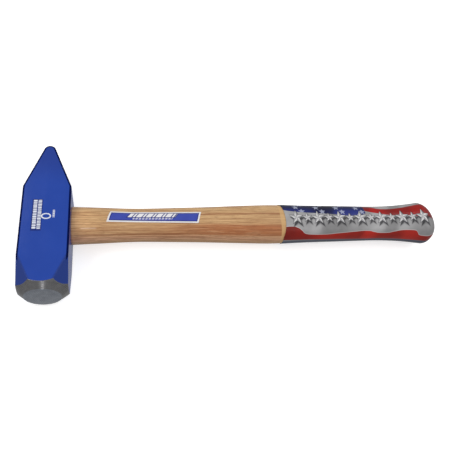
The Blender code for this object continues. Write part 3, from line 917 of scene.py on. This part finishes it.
def eye_cutter():
    rings = [oval_ring(x, *eye_halves(x), EYE_POWER, 96) for x in between(-HALF, HALF, 15)]
    beyond = Vector((OVERRUN, 0, 0))
    before = [point - beyond for point in rings[0]]
    after = [point + beyond for point in rings[-1]]
    return object_from_bmesh("eye_cutter", loft([before] + rings + [after]))


def put_in_order(elements, place):
    for index, element in enumerate(sorted(elements, key=place)):
        element.index = index
    elements.sort()


def sort_by_place(shape):
    """Gives a mesh the same order on every run, which a boolean doesn't."""
    put_in_order(shape.verts, lambda vert: tuple(vert.co))
    for elements in (shape.edges, shape.faces):
        put_in_order(elements, lambda element: sorted(vert.index for vert in element.verts))


def make_head(look):
    head = head_blank(look)
    for side_x in (-1, 1):
        for side_z in (-1, 1):
            boolean(head, facet_block(side_x, side_z), "DIFFERENCE")
    boolean(head, face_former(), "INTERSECT")
    boolean(head, eye_cutter(), "DIFFERENCE")
    shape = bmesh.new()
    shape.from_mesh(head.data)
    sort_by_place(shape)
    bmesh.ops.remove_doubles(shape, verts=shape.verts, dist=MERGE_WITHIN)
    bmesh.ops.dissolve_limit(shape, angle_limit=FLAT_BELOW, verts=shape.verts, edges=shape.edges)
    shape.to_mesh(head.data)
    shape.free()
    head.data.shade_smooth()
    easing = head.modifiers.new("eased edges", "BEVEL")
    easing.width = EDGE_ROUND
    easing.segments = 3
    easing.limit_method = "ANGLE"
    easing.angle_limit = EASED_ABOVE
    easing.miter_outer = "MITER_ARC"
    easing.harden_normals = True
    apply_modifiers(head)
    head.scale = HEAD_FULLNESS
    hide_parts("head")
    return head


def mark_plate(shape, x0, x1, y0, y1, corner=0.00025):
    """A thin rounded plate of paint on the upper cheek."""
    ring = []
    for centre_x, centre_y, start in ((x1 - corner, y1 - corner, 0), (x0 + corner, y1 - corner, 90),
                                      (x0 + corner, y0 + corner, 180), (x1 - corner, y0 + corner, 270)):
        for step in range(4):
            angle = math.radians(start + 30 * step)
            ring.append((centre_x + corner * math.cos(angle), centre_y + corner * math.sin(angle)))
    low = [shape.verts.new((x, y, MARK_LOW)) for x, y in ring]
    high = [shape.verts.new((x, y, MARK_HIGH)) for x, y in ring]
    shape.faces.new(reversed(low))
    shape.faces.new(high)
    skin(shape, (low, high))


def mark_ring(shape, x, y, halves, stroke, steps=48):
    """An oval ring of paint on the upper cheek."""
    turns = [2 * math.pi * step / steps for step in range(steps)]
    rows = []
    for inset, height in ((stroke, MARK_LOW), (0, MARK_LOW), (0, MARK_HIGH), (stroke, MARK_HIGH)):
        half_x, half_y = halves[0] - inset, halves[1] - inset
        rows.append([shape.verts.new((x + half_x * math.cos(turn), y + half_y * math.sin(turn),
                                      height)) for turn in turns])
    skin(shape, rows + rows[:1])


def make_cheek_marks(look):
    """Generic printed marks: two rows of blocks, a ring, and a short row beside it."""
    shape = bmesh.new()
    # Rows along y: x from and to, first y, lengths of the blocks and gap in millimetres, last y
    rows = (
        (-0.0100, -0.0069, 0.0139, (1.7, 0.9, 1.2), 0.55, -0.0160),
        (-0.0062, -0.0032, 0.0139, (0.8, 1.3, 0.6, 1.0), 0.50, -0.0162),
        (0.0060, 0.0078, 0.0036, (0.6, 0.9), 0.40, -0.0050),
    )
    for x0, x1, y, lengths, gap, end in rows:
        count = 0
        while y - max(lengths) * MM > end:
            length = lengths[count % len(lengths)] * MM
            mark_plate(shape, x0, x1, y - length, y)
            y -= length + gap * MM
            count += 1
    mark_ring(shape, 0.0008, -0.0026, (0.0041, 0.0030), 0.0011)
    bmesh.ops.recalc_face_normals(shape, faces=shape.faces)
    return object_from_bmesh("cheek_marks", shape, look)


# ---- handle and its film ----
def make_handle(look):
    rings = [oval_ring(x, *eye_halves(x, TIGHT), EYE_POWER)
             for x in [TENON_END_X] + between(TENON_END_X + MM, HALF, 12)]
    first_y, first_z = handle_halves(HALF + SHOULDER_ROUND)
    for index in range(7):
        angle = math.pi / 2 * index / 6
        inset = SHOULDER_ROUND * (1 - math.sin(angle))
        x = HALF + TIGHT + SHOULDER_ROUND * (1 - math.cos(angle))
        rings.append(oval_ring(x, first_y - inset, first_z - inset, HANDLE_POWER))
    rings += [handle_ring(x) for x in between(HALF + 2 * SHOULDER_ROUND, DOME_START_X, 150)]
    rings += dome_rings(0.0)
    handle = object_from_bmesh("hickory_handle", loft(rings), look, ROUND_BELOW)
    kerf_half = EYE_HALF_Y + EYE_FLARE_TOP + OVERRUN
    kerf = wedge_solid("kerf", (kerf_half, kerf_half), WOOD_WEDGE_THICKNESS, WOOD_WEDGE_DEPTH,
                       Vector((TENON_END_X, 0, 0)), 0.0, grow=TIGHT)
    boolean(handle, kerf, "DIFFERENCE")
    for side in (1, -1):
        boolean(handle, steel_wedge("slot", side, grow=TIGHT), "DIFFERENCE")
    handle.data.shade_smooth()
    handle.data.set_sharp_from_angle(angle=ROUND_BELOW)
    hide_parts("handle")
    return handle


def wedge_solid(name, halves, thickness, depth, place, turn, grow=0.0, look=None, proud=0.0):
    """A wedge from the tenon's end along +X; grow makes the slot that clears it."""
    shape = bmesh.new()
    bmesh.ops.create_cube(shape, size=1.0)
    taper = (thickness - WEDGE_TIP) / depth
    start = -OVERRUN if grow else -proud
    for vert in shape.verts:
        x, half_w = (depth + grow, halves[1]) if vert.co.x > 0 else (start, halves[0])
        vert.co = Vector((x, math.copysign(half_w + grow, vert.co.y),
                          math.copysign((thickness - taper * x) / 2 + grow, vert.co.z)))
    if not grow:
        bmesh.ops.bevel(shape, geom=shape.edges[:], offset=WEDGE_EASE, segments=2, profile=0.5,
                        affect="EDGES")
    shape.transform(Matrix.Translation(AXIS + place) @ Matrix.Rotation(turn, 4, "X"))
    return object_from_bmesh(name, shape, look)


def steel_wedge(name, side, grow=0.0, look=None):
    place = Vector((TENON_END_X, side * STEEL_WEDGE_OFFSET_Y, 0.0))
    half, thickness, depth = STEEL_WEDGE_SIZE
    return wedge_solid(name, (half, half), thickness, depth, place, STEEL_WEDGE_TURN, grow, look,
                       proud=STEEL_PROUD)


def make_wedges(wood, steel):
    wooden = wedge_solid("hardwood_wedge", WOOD_WEDGE_HALVES, WOOD_WEDGE_THICKNESS,
                         WOOD_WEDGE_DEPTH, Vector((TENON_END_X, 0, 0)), 0.0, look=wood)
    for side in (1, -1):
        boolean(wooden, steel_wedge("slot", side, grow=TIGHT), "DIFFERENCE")
    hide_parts("wood_wedge")
    made = [(wooden, "wedge_hardwood")]
    for side, word in ((1, "peen_side"), (-1, "face_side")):
        wedge = steel_wedge(f"driven_wedge_{word}", side, look=steel)
        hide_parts(f"steel_wedge_{word}")
        made.append((wedge, "wedge_steel"))
    return made


def film_edge(angle):
    """How far the film's edge lies past its start, round the handle."""
    return FILM_EDGE_REACH * max(math.cos(FILM_EDGE_RATE * (angle - FILM_EDGE_MIDDLE)), 0.0)


def film_ring(x, outset):
    """A ring of the film, bowed near the film's edge."""
    blend = max(1 - (x - SLEEVE_START_X) / FILM_EDGE_BLEND, 0.0)
    ring = []
    for index in range(SIDES):
        angle = 2 * math.pi * index / SIDES
        turn = angle - 2 * math.pi if angle > 1.5 * math.pi else angle
        bowed = x + blend * film_edge(turn)
        ring.append(superellipse(bowed, *handle_halves(bowed, outset), HANDLE_POWER, angle))
    return ring


def make_film(look):
    """Shell of film with a rolled, bowed edge towards the neck, closed over the butt."""
    rings = []
    for index in range(5):
        angle = math.pi / 2 * index / 4
        rings.append(film_ring(SLEEVE_START_X + FILM * (1 - math.sin(angle)),
                               TIGHT + 0.9 * FILM * (1 - math.cos(angle))))
    rings += [film_ring(x, FILM) for x in between(SLEEVE_START_X + FILM, DOME_START_X, 80)]
    rings += dome_rings(FILM)
    film = object_from_bmesh("grip_film", loft(rings, cap_start=False), look, ROUND_BELOW)
    thicken(film, FILM * 0.5)
    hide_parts("grip_sleeve")
    return film


def make_label(look):
    """Film patch on the neck; each vertex stores its place on the label in millimetres."""
    columns, rows = 90, 14
    length = LABEL_END_X - LABEL_START_X
    shape = bmesh.new()
    store = shape.verts.layers.float_vector.new("label_place")
    grid = []
    for along in between(0, 1, columns):
        line = []
        first_angle, last_angle = (angle + along * LABEL_DRIFT for angle in LABEL_ANGLES)
        for across, angle in zip(between(0, 1, rows), between(first_angle, last_angle, rows)):
            x = LABEL_START_X + LABEL_SLANT * (1 - across) + along * length
            halves = handle_halves(x, TIGHT + LABEL_FILM)
            line.append(shape.verts.new(superellipse(x, *halves, HANDLE_POWER, angle)))
        steps = [(vert.co - before.co).length for before, vert in zip(line, line[1:])]
        for row, vert in enumerate(line):
            vert[store] = (along * length / MM, sum(steps[:row]) / MM, sum(steps) / MM)
        grid.append(line)
    for line, following in zip(grid, grid[1:]):
        for row in range(rows - 1):
            shape.faces.new((line[row], following[row], following[row + 1], line[row + 1]))
    bmesh.ops.recalc_face_normals(shape, faces=shape.faces)
    if shape.faces[0].normal.z < 0:
        bmesh.ops.reverse_faces(shape, faces=shape.faces)
    label = object_from_bmesh("label_film", shape, look)
    thicken(label, LABEL_FILM)
    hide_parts("handle_label")
    return label


# ---- stage ----
def make_floor():
    shape = bmesh.new()
    bmesh.ops.create_grid(shape, x_segments=1, y_segments=1, size=FLOOR_HALF)
    floor = object_from_bmesh("floor", shape, floor_surface())
    floor.location = FLOOR_MIDDLE
    floor.visible_diffuse = False
    floor.visible_glossy = False


def area_light(name, place, aim, size, watts):
    lamp = bpy.data.lights.new(name, "AREA")
    lamp.shape = "RECTANGLE"
    lamp.size, lamp.size_y = size
    lamp.energy = watts
    made = add_object(name, lamp)
    made.location = place
    made.rotation_euler = (Vector(aim) - Vector(place)).to_track_quat("-Z", "Y").to_euler()


def make_lights():
    world = bpy.data.worlds.new("studio")
    world.use_nodes = True
    background = world.node_tree.nodes["Background"]
    background.inputs["Color"].default_value = (1.0, 1.0, 1.0, 1.0)
    seen = world.node_tree.nodes.new("ShaderNodeMapRange")
    seen.inputs["To Min"].default_value = WORLD_STRENGTH
    seen.inputs["To Max"].default_value = BACKDROP
    path = world.node_tree.nodes.new("ShaderNodeLightPath")
    world.node_tree.links.new(path.outputs["Is Camera Ray"], seen.inputs["Value"])
    world.node_tree.links.new(seen.outputs[0], background.inputs["Strength"])
    bpy.context.scene.world = world
    for light in LIGHTS:
        area_light(*light)


def make_camera():
    data = bpy.data.cameras.new("camera")
    data.lens = CAMERA_LENS_MM
    data.sensor_width = 36.0
    data.clip_start = 0.01
    camera = add_object("camera", data)
    camera.location = CAMERA_PLACE
    camera.rotation_euler = [math.radians(turn) for turn in CAMERA_TURN_DEGREES]
    bpy.context.scene.camera = camera


# ---- assembly ----
make_camera()
pieces = [
    (make_head(enamel_and_steel()), "head_enamel"),
    (make_cheek_marks(white_print()), "head_enamel"),
    (make_handle(hickory()), "hickory"),
    (make_film(printed_film()), "printed_film"),
    (make_label(label_print()), "label_film"),
]
pieces += make_wedges(wedge_hardwood(), wedge_steel())
for piece, slot in pieces:
    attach(piece, "root")
make_floor()
make_lights()
bpy.context.scene.view_settings.view_transform = "Standard"
